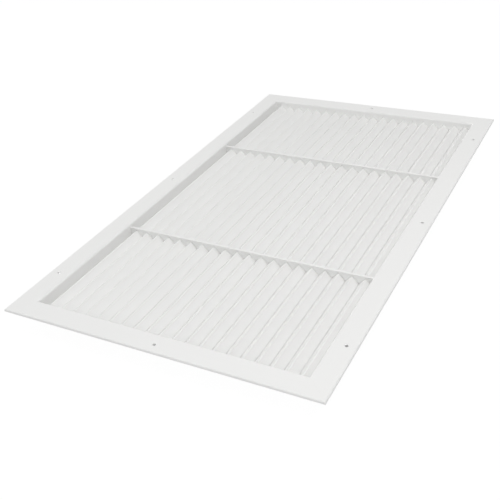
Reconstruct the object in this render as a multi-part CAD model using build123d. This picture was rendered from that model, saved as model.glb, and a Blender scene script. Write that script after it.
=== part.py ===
from build123d import *
import math
import os

# Return air grille with sight-proof chevron blades, in millimetres.
# Four extruded rails are mitred into a frame and held together by flat keys in a channel
# under the flange. Bent blades run the long way and thread through V-shaped slots in the
# two end rails and in two cross bars.
# +X runs across the blades, +Y along them and +Z out of the face. The grille lies face up,
# and the origin is at the middle of the plane that its neck stands on.

# Frame
OVERALL_WIDTH = 470.0
OVERALL_LENGTH = 820.0
FLANGE_WIDTH = 33.0  # outer edge of the flange to the inner face of the neck
NECK_DEPTH = 30.0  # face of the flange to the end of the neck
WALL = 1.3
BEND_RADIUS = 2.5  # outside of the bend between flange and neck
RIM_HEIGHT = 3.6  # face of the flange to the underside of its turned-down rim
RIM_RADIUS = 1.5

# Channel under the flange, and the keys that slide in it
CHANNEL_WIDTH = 8.0
RIB_THICKNESS = 1.0
HOOK_REACH = 1.2
HOOK_THICKNESS = 0.8
KEY_ARM_LENGTH = 38.0
KEY_CORNER_RADIUS = 2.0
KEY_CLEARANCE = 0.1

# Countersunk screw holes
SCREW_HOLE_DIAMETER = 4.2
COUNTERSINK_DIAMETER = 6.4
COUNTERSINK_DEPTH = 0.7
SCREW_EDGE_DISTANCE = 14.0
SCREW_END_DISTANCE = 100.0  # end of the grille to the first hole in a long rail

# Blades
BLADE_PITCH = 20.0
BLADE_MARGIN = 11.5  # least distance from the first and last ridge to the neck
BLADE_THICKNESS = 1.0
BLADE_ANGLE = 48.0  # slope of each leg, in degrees from the face
RIDGE_DEPTH = 8.5  # face of the flange to the top of a ridge
RIDGE_RADIUS = 1.4
FOOT_GAP = 1.6  # level gap between the foot of a short leg and the long leg under it
FOOT_OVERLAP = 2.2  # how far across a long leg runs on under that foot
LEG_WALL_GAP = 0.6  # outer foot of the first and last blades to the neck
BLADE_PROUD = 1.0  # staked end of a blade outside the neck
SLOT_CLEARANCE = 0.15

# Cross bars
BAR_SPACING = 315.0
BAR_THICKNESS = 2.2
BAR_HEIGHT = 22.0
BAR_TOP_DEPTH = 4.2  # face of the flange to the top of a bar
BEAD_WIDTH = 4.2  # round-sided bead along the top of a bar
BEAD_HEIGHT = 2.0
BAR_END_GAP = 0.1
TENON_HEIGHT = 9.0
TENON_DROP = 8.0  # top of a bar to the top of its tenons
TENON_PROUD = 1.0

# Derived sizes
opening_width = OVERALL_WIDTH - 2 * FLANGE_WIDTH
opening_length = OVERALL_LENGTH - 2 * FLANGE_WIDTH
blade_slope = math.radians(BLADE_ANGLE)
short_leg_span = (BLADE_PITCH - FOOT_GAP) / 2
long_leg_span = BLADE_PITCH - short_leg_span + FOOT_OVERLAP
blade_count = int((opening_width - 2 * BLADE_MARGIN) / BLADE_PITCH) + 1
first_ridge = -BLADE_PITCH * (blade_count - 1) / 2
bar_top = NECK_DEPTH - BAR_TOP_DEPTH
tenon_middle = bar_top - TENON_DROP - TENON_HEIGHT / 2


def block(x_low, x_high, y_low, y_high):
    """Filled rectangle between two corners."""
    return Pos(x_low, y_low) * Rectangle(x_high - x_low, y_high - y_low, align=Align.MIN)


def vertex_near(sketch, x, y):
    """Corner of a sketch that lies nearest to a point."""
    return min(sketch.vertices(), key=lambda corner: math.hypot(corner.X - x, corner.Y - y))


def rail_section():
    """Section of a rail: x runs inward from its outer edge, y up from the end of the neck."""
    face = NECK_DEPTH
    rim_bottom = face - RIM_HEIGHT
    rib = WALL + CHANNEL_WIDTH
    section = block(0, FLANGE_WIDTH, face - WALL, face)
    section += block(FLANGE_WIDTH - WALL, FLANGE_WIDTH, 0, face)
    section += block(0, WALL, rim_bottom, face)
    section += block(0, WALL + HOOK_REACH, rim_bottom, rim_bottom + HOOK_THICKNESS)
    section += block(rib, rib + RIB_THICKNESS, rim_bottom, face)
    section += block(rib - HOOK_REACH, rib, rim_bottom, rim_bottom + HOOK_THICKNESS)
    section = fillet(vertex_near(section, 0, face), RIM_RADIUS)
    section = fillet(vertex_near(section, FLANGE_WIDTH, face), BEND_RADIUS)
    inner_bend = vertex_near(section, FLANGE_WIDTH - WALL, face - WALL)
    return fillet(inner_bend, max(BEND_RADIUS - WALL, WALL / 4))


def mitred(rail, outer_length, across):
    """Rail cut at 45 degrees at both ends; it lies along X, or along Y where across is set."""
    half = outer_length / 2
    plan = Polygon(
        (-half, 0),
        (half, 0),
        (half - FLANGE_WIDTH, FLANGE_WIDTH),
        (FLANGE_WIDTH - half, FLANGE_WIDTH),
        align=None,
    )
    if across:
        plan = Pos(-OVERALL_WIDTH / 2, 0) * Rot(0, 0, -90) * plan
    else:
        plan = Pos(0, -OVERALL_LENGTH / 2) * plan
    return rail & extrude(plan, NECK_DEPTH)


def screw_hole():
    """Cutter for one countersunk screw hole, with its mouth in the plane of the face."""
    top = Align.CENTER, Align.CENTER, Align.MAX
    shank = Cylinder(SCREW_HOLE_DIAMETER / 2, RIM_HEIGHT, align=top)
    sink = Cone(SCREW_HOLE_DIAMETER / 2, COUNTERSINK_DIAMETER / 2, COUNTERSINK_DEPTH, align=top)
    return Pos(0, 0, NECK_DEPTH) * (shank + sink)


def bar_places():
    """Y of the middle of each cross bar."""
    return [-BAR_SPACING / 2, BAR_SPACING / 2]


def side_rail():
    """Long rail at -X, with three screw holes and a slot for each bar's tenon."""
    section = Pos(-OVERALL_WIDTH / 2, 0) * rail_section()
    rail = extrude(Plane.XZ * section, OVERALL_LENGTH / 2, both=True)
    rail = mitred(rail, OVERALL_LENGTH, across=True)
    hole_x = SCREW_EDGE_DISTANCE - OVERALL_WIDTH / 2
    hole_reach = OVERALL_LENGTH / 2 - SCREW_END_DISTANCE
    for hole_y in (-hole_reach, 0, hole_reach):
        rail -= Pos(hole_x, hole_y) * screw_hole()
    neck_x = -(opening_width + WALL) / 2
    slot = Box(
        3 * WALL,
        BAR_THICKNESS + 2 * SLOT_CLEARANCE,
        TENON_HEIGHT + 2 * SLOT_CLEARANCE,
    )
    for bar_y in bar_places():
        rail -= Pos(neck_x, bar_y, tenon_middle) * slot
    return rail


def ridge_places():
    """X of each blade's ridge."""
    return [first_ridge + BLADE_PITCH * index for index in range(blade_count)]


def blade_outline(ridge_x, margin=0.0):
    """Section of one blade with a plain inner corner, grown by a margin on every side.

    The short leg runs to -X and the long one passes under the foot of the next blade. Beside
    the neck, where no blade comes next, both legs are long ones that end short of the wall.
    """
    wall_reach = opening_width / 2 - LEG_WALL_GAP
    is_first = ridge_x < first_ridge + BLADE_PITCH / 2
    short_span = min(long_leg_span, ridge_x + wall_reach) if is_first else short_leg_span
    long_span = min(long_leg_span, wall_reach - ridge_x)
    flat, steep = math.cos(blade_slope), math.sin(blade_slope)
    foot_growth = margin * (flat + steep)
    short_span += foot_growth
    long_span += foot_growth
    thickness = BLADE_THICKNESS + 2 * margin
    radius = RIDGE_RADIUS + margin
    apex = NECK_DEPTH - RIDGE_DEPTH + margin + radius * (1 / flat - 1)
    short_foot = (ridge_x - short_span, apex - short_span * steep / flat)
    long_foot = (ridge_x + long_span, apex - long_span * steep / flat)
    outline = Polygon(
        short_foot,
        (short_foot[0] + thickness * steep, short_foot[1] - thickness * flat),
        (ridge_x, apex - thickness / flat),
        (long_foot[0] - thickness * steep, long_foot[1] - thickness * flat),
        long_foot,
        (ridge_x, apex),
        align=None,
    )
    return fillet(vertex_near(outline, ridge_x, apex), radius)


def blade_section(ridge_x):
    """Outline of a blade with its inner bend, kept small enough to clear the slots' corner."""
    outline = blade_outline(ridge_x)
    inner_corner = min(outline.vertices(), key=lambda corner: abs(corner.X - ridge_x))
    largest = 0.75 * SLOT_CLEARANCE / (1 - math.cos(blade_slope))
    return fillet(inner_corner, min(RIDGE_RADIUS - BLADE_THICKNESS, largest))


def blade(ridge_x):
    """Blade that reaches through the neck at both ends."""
    half_length = opening_length / 2 + WALL + BLADE_PROUD
    return extrude(Plane.XZ * blade_section(ridge_x), half_length, both=True)


def blade_slots():
    """Sections of the slots that the blades thread through."""
    return [blade_outline(ridge_x, SLOT_CLEARANCE) for ridge_x in ridge_places()]


def end_rail():
    """Short rail at -Y, with one screw hole and a slot for each blade's end."""
    section = Pos(-OVERALL_LENGTH / 2, 0) * rail_section()
    rail = extrude(Plane.YZ * section, OVERALL_WIDTH / 2, both=True)
    rail = mitred(rail, OVERALL_WIDTH, across=False)
    rail -= Pos(0, SCREW_EDGE_DISTANCE - OVERALL_LENGTH / 2) * screw_hole()
    neck_plane = Plane.XZ.offset((opening_length + WALL) / 2)
    for slot in blade_slots():
        rail -= extrude(neck_plane * slot, WALL, both=True)
    return rail


def cross_bar(bar_y):
    """Bar on edge with a bead along its top, the blades' slots and a tenon at each end."""
    half_width = opening_width / 2 - BAR_END_GAP
    tenon_reach = opening_width / 2 + WALL + TENON_PROUD
    tenon_half = TENON_HEIGHT / 2
    bead_middle = bar_top - BEAD_HEIGHT / 2
    profile = block(-half_width, half_width, bar_top - BAR_HEIGHT, bead_middle)
    profile += block(-tenon_reach, tenon_reach, tenon_middle - tenon_half, tenon_middle + tenon_half)
    for slot in blade_slots():
        profile -= slot
    bar = extrude(Plane.XZ.offset(-bar_y) * profile, BAR_THICKNESS / 2, both=True)
    bead = Pos(bar_y, bead_middle) * SlotOverall(BEAD_WIDTH, BEAD_HEIGHT)
    return bar + extrude(Plane.YZ * bead, half_width, both=True)


def corner_key():
    """Flat L-shaped key in the channel of the corner at -X and -Y."""
    inset = WALL + KEY_CLEARANCE
    width = CHANNEL_WIDTH - 2 * KEY_CLEARANCE
    thickness = RIM_HEIGHT - WALL - HOOK_THICKNESS - 2 * KEY_CLEARANCE
    plan = block(0, KEY_ARM_LENGTH, 0, width) + block(0, width, 0, KEY_ARM_LENGTH)
    plan = fillet(vertex_near(plan, 0, 0), KEY_CORNER_RADIUS)
    corner = Pos(
        inset - OVERALL_WIDTH / 2,
        inset - OVERALL_LENGTH / 2,
        NECK_DEPTH - WALL - KEY_CLEARANCE - thickness,
    )
    return corner * extrude(plan, thickness)


def build():
    """Every piece of the grille, by node name."""
    left = side_rail()
    near = end_rail()
    near_left_key = corner_key()
    far_left_key = mirror(near_left_key, about=Plane.XZ)
    parts = {
        "frame_rail_left": left,
        "frame_rail_right": mirror(left, about=Plane.YZ),
        "frame_rail_near": near,
        "frame_rail_far": mirror(near, about=Plane.XZ),
        "corner_key_near_left": near_left_key,
        "corner_key_far_left": far_left_key,
        "corner_key_near_right": mirror(near_left_key, about=Plane.YZ),
        "corner_key_far_right": mirror(far_left_key, about=Plane.YZ),
    }
    for name, bar_y in zip(("cross_bar_near", "cross_bar_far"), bar_places()):
        parts[name] = cross_bar(bar_y)
    for number, ridge_x in enumerate(ridge_places(), start=1):
        parts[f"blade_{number:02d}"] = blade(ridge_x)
    return parts


def main():
    """Write one STEP file for each piece."""
    os.makedirs("parts", exist_ok=True)
    for name, shape in build().items():
        shape.label = name
        export_step(shape, f"parts/{name}.step")


main()
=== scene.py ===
"""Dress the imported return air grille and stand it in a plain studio.

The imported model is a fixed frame. This script gives each of its pieces a finish, models the staked heads
that hold the blades and the cross bars in the neck, and adds the floor, the lamps and the camera.
All lengths are in metres, with +Z out of the face of the grille.
"""

import logging
import math
from dataclasses import dataclass, field
from enum import Enum
from typing import Any, Sequence

import bmesh
import bpy
from mathutils import Matrix, Quaternion, Vector
from mathutils.geometry import intersect_line_line


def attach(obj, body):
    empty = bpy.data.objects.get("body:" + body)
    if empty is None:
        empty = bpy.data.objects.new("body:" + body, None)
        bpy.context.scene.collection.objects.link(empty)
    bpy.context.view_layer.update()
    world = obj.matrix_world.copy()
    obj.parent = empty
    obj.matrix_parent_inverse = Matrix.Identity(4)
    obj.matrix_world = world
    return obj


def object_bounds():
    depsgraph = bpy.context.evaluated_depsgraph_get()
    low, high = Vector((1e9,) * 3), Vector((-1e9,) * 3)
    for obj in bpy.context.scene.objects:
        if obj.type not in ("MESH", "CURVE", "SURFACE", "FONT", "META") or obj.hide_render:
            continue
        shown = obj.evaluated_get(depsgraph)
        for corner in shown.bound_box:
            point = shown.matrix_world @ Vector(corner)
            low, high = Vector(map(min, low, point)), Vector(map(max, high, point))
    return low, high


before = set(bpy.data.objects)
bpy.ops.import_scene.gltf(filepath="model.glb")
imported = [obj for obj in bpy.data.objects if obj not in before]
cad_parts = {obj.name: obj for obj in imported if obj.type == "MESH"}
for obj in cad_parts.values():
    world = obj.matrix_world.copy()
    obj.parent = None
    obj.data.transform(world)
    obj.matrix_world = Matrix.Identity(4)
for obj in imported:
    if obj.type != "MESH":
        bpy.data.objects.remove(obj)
cad_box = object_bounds()

LOG = logging.getLogger("grille")
MM = 0.001
BODY = "root"

# Places of the Mix node's sockets for colours. Their names are those of its other sockets too.
MIX_LOW, MIX_HIGH, MIX_RESULT = 6, 7, 2

Colour = tuple[float, float, float]
Point = tuple[float, float, float]


class Wave:
    """A shader value that Python's operators work on, each one adding a Math node."""

    def __init__(self, graph: "Graph", socket: bpy.types.NodeSocket) -> None:
        """Wrap an output socket.

        Args:
            graph: The node graph that the socket is in.
            socket: The output that carries the value.
        """
        self.graph = graph
        self.socket = socket

    def _math(self, operation: str, *operands: "Wave | float", clamp: bool = False) -> "Wave":
        """Add one Math node.

        Args:
            operation: The node's operation, such as "ADD".
            operands: Its inputs in order.
            clamp: Whether the result is kept between 0 and 1.

        Returns:
            The node's result.
        """
        settings = {"operation": operation, "use_clamp": clamp}
        return self.graph.value("ShaderNodeMath", settings, dict(enumerate(operands)))

    def __add__(self, other: "Wave | float") -> "Wave":
        """Return self + other."""
        return self._math("ADD", self, other)

    def __sub__(self, other: "Wave | float") -> "Wave":
        """Return self - other."""
        return self._math("SUBTRACT", self, other)

    def __rsub__(self, other: float) -> "Wave":
        """Return other - self."""
        return self._math("SUBTRACT", other, self)

    def __mul__(self, other: "Wave | float") -> "Wave":
        """Return self * other."""
        return self._math("MULTIPLY", self, other)

    def __truediv__(self, other: "Wave | float") -> "Wave":
        """Return self / other."""
        return self._math("DIVIDE", self, other)

    def __abs__(self) -> "Wave":
        """Return the value without its sign."""
        return self._math("ABSOLUTE", self)

    def clamped(self) -> "Wave":
        """Return the value kept between 0 and 1."""
        return self._math("ADD", self, 0.0, clamp=True)


class Graph:
    """Node graph of one material or world."""

    def __init__(self, owner: bpy.types.Material | bpy.types.World) -> None:
        """Start an empty graph.

        Args:
            owner: The material or world that the graph belongs to.
        """
        owner.use_nodes = True
        self.tree = owner.node_tree
        self.tree.nodes.clear()

    def add(
        self,
        kind: str,
        settings: dict[str, Any] | None = None,
        sockets: dict[str | int, Any] | None = None,
    ) -> bpy.types.Node:
        """Add a node.

        Args:
            kind: The node's type.
            settings: Its own properties, which are set first.
            sockets: A value, a wave or an output socket for each input, by name or by place.

        Returns:
            The new node.
        """
        node = self.tree.nodes.new(kind)
        for name, value in (settings or {}).items():
            setattr(node, name, value)
        for name, value in (sockets or {}).items():
            source = value.socket if isinstance(value, Wave) else value
            if isinstance(source, bpy.types.NodeSocket):
                self.tree.links.new(source, node.inputs[name])
            else:
                node.inputs[name].default_value = source
        return node

    def value(
        self,
        kind: str,
        settings: dict[str, Any] | None = None,
        sockets: dict[str | int, Any] | None = None,
        output: str | int = 0,
    ) -> Wave:
        """Add a node and return one of its outputs.

        Args:
            kind: The node's type.
            settings: Its own properties.
            sockets: A value or a link for each input.
            output: The name or place of the output.

        Returns:
            The output, ready for sums.
        """
        return Wave(self, self.add(kind, settings, sockets).outputs[output])

    def place(self) -> Wave:
        """Return the object's own coordinates, in metres."""
        return self.value("ShaderNodeTexCoord", output="Object")

    def noise(self, place: Wave, size: float, detail: float = 2.0) -> Wave:
        """Return soft random noise from 0 to 1.

        Args:
            place: The coordinates that it is laid over.
            size: The distance from one blob to the next.
            detail: How many finer layers it has.
        """
        sockets = {"Vector": place, "Scale": 1 / size, "Detail": detail, "Roughness": 0.5}
        return self.value("ShaderNodeTexNoise", sockets=sockets)

    def tint(self, share: Wave, low: Wave | Colour, high: Colour) -> Wave:
        """Return a colour between two others.

        Args:
            share: How far it is from the first colour to the second.
            low: The first colour, plain or made by nodes.
            high: The second colour.
        """
        first = low if isinstance(low, Wave) else (*low, 1.0)
        sockets = {"Factor": share, MIX_LOW: first, MIX_HIGH: (*high, 1.0)}
        return self.value("ShaderNodeMix", {"data_type": "RGBA"}, sockets, output=MIX_RESULT)

    def relief(self, height: Wave, depth: float, under: Wave | None = None) -> Wave:
        """Return a normal bent by a height.

        Args:
            height: The height from 0 to 1.
            depth: The real height of a 1.
            under: A normal that is already bent, if there is one.
        """
        sockets = {"Height": height, "Distance": depth}
        if under is not None:
            sockets["Normal"] = under
        return self.value("ShaderNodeBump", sockets=sockets)

    def surface(self, shader: bpy.types.NodeSocket) -> None:
        """Send a shader to the material's output."""
        self.add("ShaderNodeOutputMaterial", sockets={"Surface": shader})


def shaded(colour: Colour, factor: float) -> Colour:
    """Return a colour made lighter or darker by a factor."""
    return tuple(channel * factor for channel in colour)


@dataclass(frozen=True)
class PowderCoat:
    """White satin powder coat: fine orange peel, slightly uneven gloss and a faint mottle.

    With seam_offset set, the hairlines of the frame's mitres show through it. They lie where the
    distances from the middle, across and along, differ by that much.
    """

    name: str
    colour: Colour = (0.90, 0.90, 0.89)
    roughness: float = 0.42
    gloss_change: float = 0.06
    mottle: float = 0.006
    mottle_size: float = 0.06
    peel_size: float = 1.3 * MM
    peel_depth: float = 0.012 * MM
    grit_size: float = 0.35 * MM
    grit_depth: float = 0.003 * MM
    seam_offset: float | None = None
    seam_width: float = 0.18 * MM
    seam_depth: float = 0.05 * MM
    seam_shade: float = 0.93

    def material(self) -> bpy.types.Material:
        """Return the coat as a material."""
        made = bpy.data.materials.new(self.name)
        graph = Graph(made)
        place = graph.place()
        cloud = graph.noise(place, self.mottle_size, detail=1.0)
        low, high = (shaded(self.colour, 1 + change) for change in (-self.mottle, self.mottle))
        colour = graph.tint(cloud, low, high)
        peel = graph.noise(place, self.peel_size)
        normal = graph.relief(peel, self.peel_depth)
        normal = graph.relief(graph.noise(place, self.grit_size), self.grit_depth, normal)
        if self.seam_offset is not None:
            seam = self._seam(graph, place)
            normal = graph.relief(1 - seam, self.seam_depth, normal)
            colour = graph.tint(seam, colour, shaded(self.colour, self.seam_shade))
        sockets = {
            "Base Color": colour,
            "Roughness": (peel - 0.5) * self.gloss_change + self.roughness,
            "Normal": normal,
            "IOR": 1.5,
        }
        graph.surface(graph.add("ShaderNodeBsdfPrincipled", sockets=sockets).outputs[0])
        return made

    def _seam(self, graph: Graph, place: Wave) -> Wave:
        """Return 1 on the mitres' hairlines and 0 beside them.

        Args:
            graph: The material's node graph.
            place: The object's coordinates.
        """
        apart = graph.add("ShaderNodeSeparateXYZ", sockets={"Vector": place}).outputs
        across, along = abs(Wave(graph, apart["X"])), abs(Wave(graph, apart["Y"]))
        off_seam = abs(along - across - self.seam_offset)
        return (1 - off_seam / self.seam_width).clamped()


@dataclass(frozen=True)
class MillAluminium:
    """Bare rolled aluminium, with fine lines along the sheet's length."""

    name: str
    colour: Colour = (0.78, 0.79, 0.80)
    roughness: float = 0.36
    gloss_change: float = 0.16
    line_length: float = 30 * MM
    line_width: float = 0.25 * MM
    line_depth: float = 0.004 * MM
    line_shade: float = 0.94

    def material(self) -> bpy.types.Material:
        """Return the metal as a material."""
        made = bpy.data.materials.new(self.name)
        graph = Graph(made)
        narrow = self.line_length / self.line_width
        drawn_out = {"Vector": graph.place(), "Scale": (1.0, narrow, narrow)}
        stretched = graph.value("ShaderNodeMapping", sockets=drawn_out)
        lines = graph.noise(stretched, self.line_length, detail=4.0)
        sockets = {
            "Base Color": graph.tint(lines, shaded(self.colour, self.line_shade), self.colour),
            "Metallic": 1.0,
            "Roughness": (lines - 0.5) * self.gloss_change + self.roughness,
            "Normal": graph.relief(lines, self.line_depth),
        }
        graph.surface(graph.add("ShaderNodeBsdfPrincipled", sockets=sockets).outputs[0])
        return made


@dataclass(frozen=True)
class StudioWhite:
    """Matt white floor that the camera sees as plain white, with the object's shadow kept faint.

    The floor close to the neck, which shows through the screw holes, is seen as it is lit. Half of
    that part's width and length is covered_half, and fade is how far it takes to turn white.
    """

    name: str
    covered_half: tuple[float, float]
    fade: tuple[float, float] = (18 * MM, 6 * MM)
    reflectance: float = 0.82
    seen_light: float = 1.045
    shadow_share: float = 0.08
    grain: float = 0.005
    grain_size: float = 0.4

    def material(self) -> bpy.types.Material:
        """Return the floor's material."""
        made = bpy.data.materials.new(self.name)
        graph = Graph(made)
        grain = graph.noise(graph.place(), self.grain_size)
        levels = (self.reflectance * (1 + change) for change in (-self.grain, self.grain))
        low, high = ((level, level, level) for level in levels)
        matt = graph.add("ShaderNodeBsdfDiffuse", sockets={"Color": graph.tint(grain, low, high)})
        glow = graph.add("ShaderNodeEmission", sockets={"Strength": self.seen_light})
        share = plainly_seen(graph) * (1 - self.shadow_share) * self._open_floor(graph)
        mixed = {0: share, 1: matt.outputs[0], 2: glow.outputs[0]}
        graph.surface(graph.add("ShaderNodeMixShader", sockets=mixed).outputs[0])
        return made

    def _open_floor(self, graph: Graph) -> Wave:
        """Return 0 on the floor that the grille covers, rising softly to 1 round it.

        Args:
            graph: The material's node graph.
        """
        apart = graph.add("ShaderNodeSeparateXYZ", sockets={"Vector": graph.place()}).outputs
        across, along = (
            ((abs(Wave(graph, apart[axis])) - half) / fade).clamped()
            for axis, half, fade in zip(("X", "Y"), self.covered_half, self.fade)
        )
        return (across * across + along * along).clamped()


def plainly_seen(graph: Graph) -> Wave:
    """Return 1 for rays seen straight, in a reflection or through glass, and 0 for light."""
    path = graph.add("ShaderNodeLightPath").outputs
    kinds = [Wave(graph, path[f"Is {kind} Ray"]) for kind in ("Camera", "Glossy", "Transmission")]
    return (kinds[0] + kinds[1] + kinds[2]).clamped()


class Side(Enum):
    """The four sides of the neck, each with the direction that points out of it."""

    LEFT = (-1.0, 0.0, 0.0)
    RIGHT = (1.0, 0.0, 0.0)
    NEAR = (0.0, -1.0, 0.0)
    FAR = (0.0, 1.0, 0.0)

    @property
    def outward(self) -> Vector:
        """Direction that points out of the neck on this side."""
        return Vector(self.value)


def dress(node: str, material: bpy.types.Material) -> None:
    """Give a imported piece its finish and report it.

    Args:
        node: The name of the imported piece.
        material: Its finish.
    """
    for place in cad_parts[node].material_slots:
        place.material = material
    LOG.info("%s wears %s", node, material.name)


@dataclass
class StakedHeads:
    """Heads that a punch has spread on the ends of sheet pieces, against the outside of the neck.

    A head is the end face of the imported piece, made wider all round, with its outer edge rounded. It goes
    from the neck to just past the end, so it covers the end and is wider than the slot.
    """

    name: str
    nodes: Sequence[str]
    side: Side
    slot: str
    material: bpy.types.Material
    proud: float = 1.0 * MM
    spread: float = 0.45 * MM
    cover: float = 0.12 * MM
    edge_radius: float = 0.3 * MM
    edge_segments: int = 3
    weld_distance: float = 0.001 * MM
    flatness: float = 0.01 * MM
    least_turn: float = math.radians(1)

    def _end_sides(self, node: str) -> list[tuple[Vector, Vector]]:
        """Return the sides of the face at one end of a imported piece, each from corner to corner.

        The short sides of an inner bend are left out, so that bend becomes a plain corner.

        Args:
            node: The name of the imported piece.
        """
        outward = self.side.outward
        piece = bmesh.new()
        piece.from_mesh(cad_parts[node].data)
        bmesh.ops.remove_doubles(piece, verts=piece.verts, dist=self.weld_distance)
        limit = max(vertex.co.dot(outward) for vertex in piece.verts) - self.flatness
        at_end = [face for face in piece.faces if all(v.co.dot(outward) > limit for v in face.verts)]
        end = bmesh.ops.dissolve_faces(piece, faces=at_end)["region"][0]
        end.normal_update()
        corners = [loop for loop in end.loops if abs(loop.calc_angle() - math.pi) > self.least_turn]
        pairs = zip(corners, corners[1:] + corners[:1])
        sides = [(a.vert.co.copy(), b.vert.co.copy()) for a, b in pairs if a.is_convex or b.is_convex]
        piece.free()
        return sides

    def _spread_corners(self, node: str) -> list[Vector]:
        """Return the corners of the end face after its sides have moved outwards.

        Args:
            node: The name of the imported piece.
        """
        moved = []
        for start, end in self._end_sides(node):
            aside = (end - start).normalized().cross(self.side.outward) * self.spread
            moved.append((start + aside, end + aside))
        pairs = zip(moved, moved[1:] + moved[:1])
        return [intersect_line_line(*one, *other)[0] for one, other in pairs]

    def _head(self, node: str) -> bmesh.types.BMesh:
        """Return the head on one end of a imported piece.

        Args:
            node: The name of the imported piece.
        """
        outward = self.side.outward
        head = bmesh.new()
        corners = [corner - outward * self.proud for corner in self._spread_corners(node)]
        foot = head.faces.new([head.verts.new(corner) for corner in corners])
        grown = bmesh.ops.extrude_face_region(head, geom=[foot])["geom"]
        raised = [part for part in grown if isinstance(part, bmesh.types.BMVert)]
        bmesh.ops.translate(head, verts=raised, vec=outward * (self.proud + self.cover))
        bmesh.ops.recalc_face_normals(head, faces=head.faces)
        cap = max(head.faces, key=lambda face: face.calc_center_median().dot(outward))
        bmesh.ops.bevel(
            head,
            geom=list(cap.edges),
            offset=self.edge_radius,
            segments=self.edge_segments,
            profile=0.5,
            affect="EDGES",
            material=-1,
        )
        return head

    def build(self) -> bpy.types.Object:
        """Return the heads of one side as one piece that rides with the grille."""
        mesh = bpy.data.meshes.new(self.name)
        joined = bmesh.new()
        for node in self.nodes:
            head = self._head(node)
            head.to_mesh(mesh)
            head.free()
            joined.from_mesh(mesh)
        joined.to_mesh(mesh)
        joined.free()
        mesh.materials.append(self.material)
        piece = bpy.data.objects.new(self.name, mesh)
        bpy.context.scene.collection.objects.link(piece)
        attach(piece, BODY)
        LOG.info("%s: %d heads, %d faces", self.name, len(self.nodes), len(mesh.polygons))
        return piece


@dataclass
class FlangedFrame:
    """The four mitred rails and the flat keys that join them."""

    rails: Sequence[str] = tuple(f"frame_rail_{side.name.lower()}" for side in Side)
    keys: Sequence[str] = tuple(
        f"corner_key_{end}_{side}" for end in ("near", "far") for side in ("left", "right")
    )

    def build(self) -> None:
        """Coat the rails, with their mitres showing as hairlines, and leave the keys bare."""
        _, corner = cad_box
        coat = PowderCoat("frame_powder_coat", seam_offset=corner.y - corner.x)
        material = coat.material()
        for rail in self.rails:
            dress(rail, material)
        bare = MillAluminium("mill_aluminium").material()
        for key in self.keys:
            dress(key, bare)


@dataclass
class CrossBars:
    """The two bars on edge that carry the blades, with a staked tenon at each end."""

    bars: Sequence[str] = ("cross_bar_near", "cross_bar_far")

    def build(self) -> None:
        """Coat the bars and add the heads of their tenons."""
        material = PowderCoat("bar_powder_coat").material()
        for bar in self.bars:
            dress(bar, material)
        for side in (Side.LEFT, Side.RIGHT):
            name = f"bar_heads_{side.name.lower()}"
            StakedHeads(name, self.bars, side, "bar_coat", material).build()


@dataclass
class BladeBank:
    """The twenty chevron blades, staked at both ends."""

    blades: Sequence[str] = field(
        default_factory=lambda: sorted(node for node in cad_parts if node.startswith("blade_"))
    )

    def build(self) -> None:
        """Coat the blades and add the heads of their ends."""
        material = PowderCoat("blade_powder_coat", roughness=0.45).material()
        for blade in self.blades:
            dress(blade, material)
        for side in (Side.NEAR, Side.FAR):
            name = f"blade_heads_{side.name.lower()}"
            StakedHeads(name, self.blades, side, "blade_coat", material).build()


@dataclass(frozen=True)
class Softbox:
    """One square soft lamp that points at the grille."""

    name: str
    place: Point
    size: float
    power: float
    target: Point = (0.0, 0.0, 0.0)

    def build(self) -> bpy.types.Object:
        """Return the lamp in its place."""
        data = bpy.data.lights.new(self.name, "AREA")
        data.shape = "SQUARE"
        data.size = self.size
        data.energy = self.power
        lamp = bpy.data.objects.new(self.name, data)
        lamp.location = self.place
        towards = Vector(self.target) - lamp.location
        lamp.rotation_euler = towards.to_track_quat("-Z", "Y").to_euler()
        bpy.context.scene.collection.objects.link(lamp)
        LOG.info("lamp %s at %.1f W", self.name, self.power)
        return lamp


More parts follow.
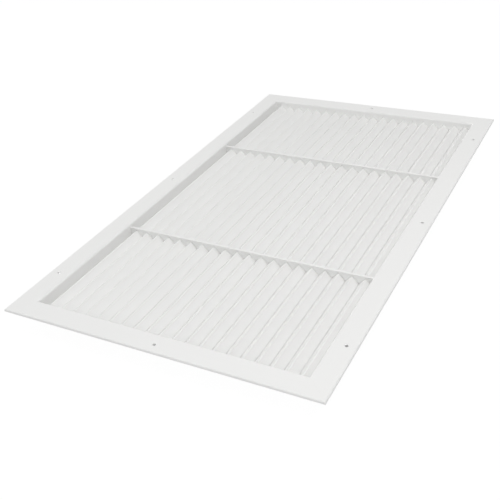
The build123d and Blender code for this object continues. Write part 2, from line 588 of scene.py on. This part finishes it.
@dataclass
class Studio:
    """Plain white floor, plain surroundings and soft lamps."""

    floor_size: float = 30.0
    flange_overhang: float = 31 * MM
    surroundings: float = 0.42
    lamps: Sequence[Softbox] = (
        Softbox("left_softbox", (-2.2, 0.0, 1.6), 1.2, 12.2),
        Softbox("far_left_softbox", (-0.8, 1.4, 1.8), 1.0, 1.9),
        Softbox("right_softbox", (0.7, 0.0, 1.5), 0.8, 7.8),
        Softbox("near_right_softbox", (0.9, -1.2, 1.7), 0.9, 2.7),
        Softbox("low_near_softbox", (0.2, -1.4, 0.9), 0.7, 3.1),
    )

    def _floor(self) -> None:
        """Lay the floor that the neck stands on."""
        sheet = bmesh.new()
        bmesh.ops.create_grid(sheet, x_segments=1, y_segments=1, size=self.floor_size / 2)
        mesh = bpy.data.meshes.new("studio_floor")
        sheet.to_mesh(mesh)
        sheet.free()
        _, corner = cad_box
        covered = (corner.x - self.flange_overhang, corner.y - self.flange_overhang)
        mesh.materials.append(StudioWhite("floor_white", covered).material())
        floor = bpy.data.objects.new("studio_floor", mesh)
        bpy.context.scene.collection.objects.link(floor)

    def _world(self) -> None:
        """Light the grille from all round, and show plain white behind the floor."""
        world = bpy.data.worlds.new("studio_world")
        graph = Graph(world)
        white = (1.0, 1.0, 1.0, 1.0)
        light = graph.add("ShaderNodeBackground", sockets={"Color": white, "Strength": self.surroundings})
        seen = graph.add("ShaderNodeBackground", sockets={"Color": white, "Strength": 1.0})
        mixed = {0: plainly_seen(graph), 1: light.outputs[0], 2: seen.outputs[0]}
        both = graph.add("ShaderNodeMixShader", sockets=mixed)
        graph.add("ShaderNodeOutputWorld", sockets={"Surface": both.outputs[0]})
        bpy.context.scene.world = world

    def build(self) -> None:
        """Set up the floor, the surroundings and the lamps."""
        self._floor()
        self._world()
        for lamp in self.lamps:
            lamp.build()
        bpy.context.scene.view_settings.view_transform = "Standard"


@dataclass(frozen=True)
class PhotoCamera:
    """Camera at the photograph's place, found from the flange's edges and the screw holes.

    The photograph is taken to be image_side pixels square, with its lens's axis at its middle.
    """

    place: Point = (0.4918, -0.9877, 0.6306)
    target: Point = (0.0122, -0.1593, 0.03)
    roll: float = -5.24
    focal_pixels: float = 774.8
    image_side: float = 500.0
    sensor: float = 36.0

    def build(self) -> bpy.types.Object:
        """Return the camera, set as the scene's own."""
        data = bpy.data.cameras.new("photo_camera")
        data.sensor_width = self.sensor
        data.lens = self.focal_pixels / self.image_side * self.sensor
        data.clip_start = 0.01
        camera = bpy.data.objects.new("photo_camera", data)
        towards = Vector(self.target) - Vector(self.place)
        turn = towards.to_track_quat("-Z", "Y") @ Quaternion((0, 0, 1), math.radians(self.roll))
        camera.matrix_world = Matrix.Translation(self.place) @ turn.to_matrix().to_4x4()
        bpy.context.scene.collection.objects.link(camera)
        bpy.context.scene.camera = camera
        LOG.info("camera %.2f m from the middle of the grille", towards.length)
        return camera


def main() -> None:
    """Build the dressed grille and its studio."""
    logging.basicConfig(level=logging.INFO, format="%(name)s: %(message)s")
    FlangedFrame().build()
    CrossBars().build()
    BladeBank().build()
    Studio().build()
    PhotoCamera().build()


if __name__ == "__main__":
    main()
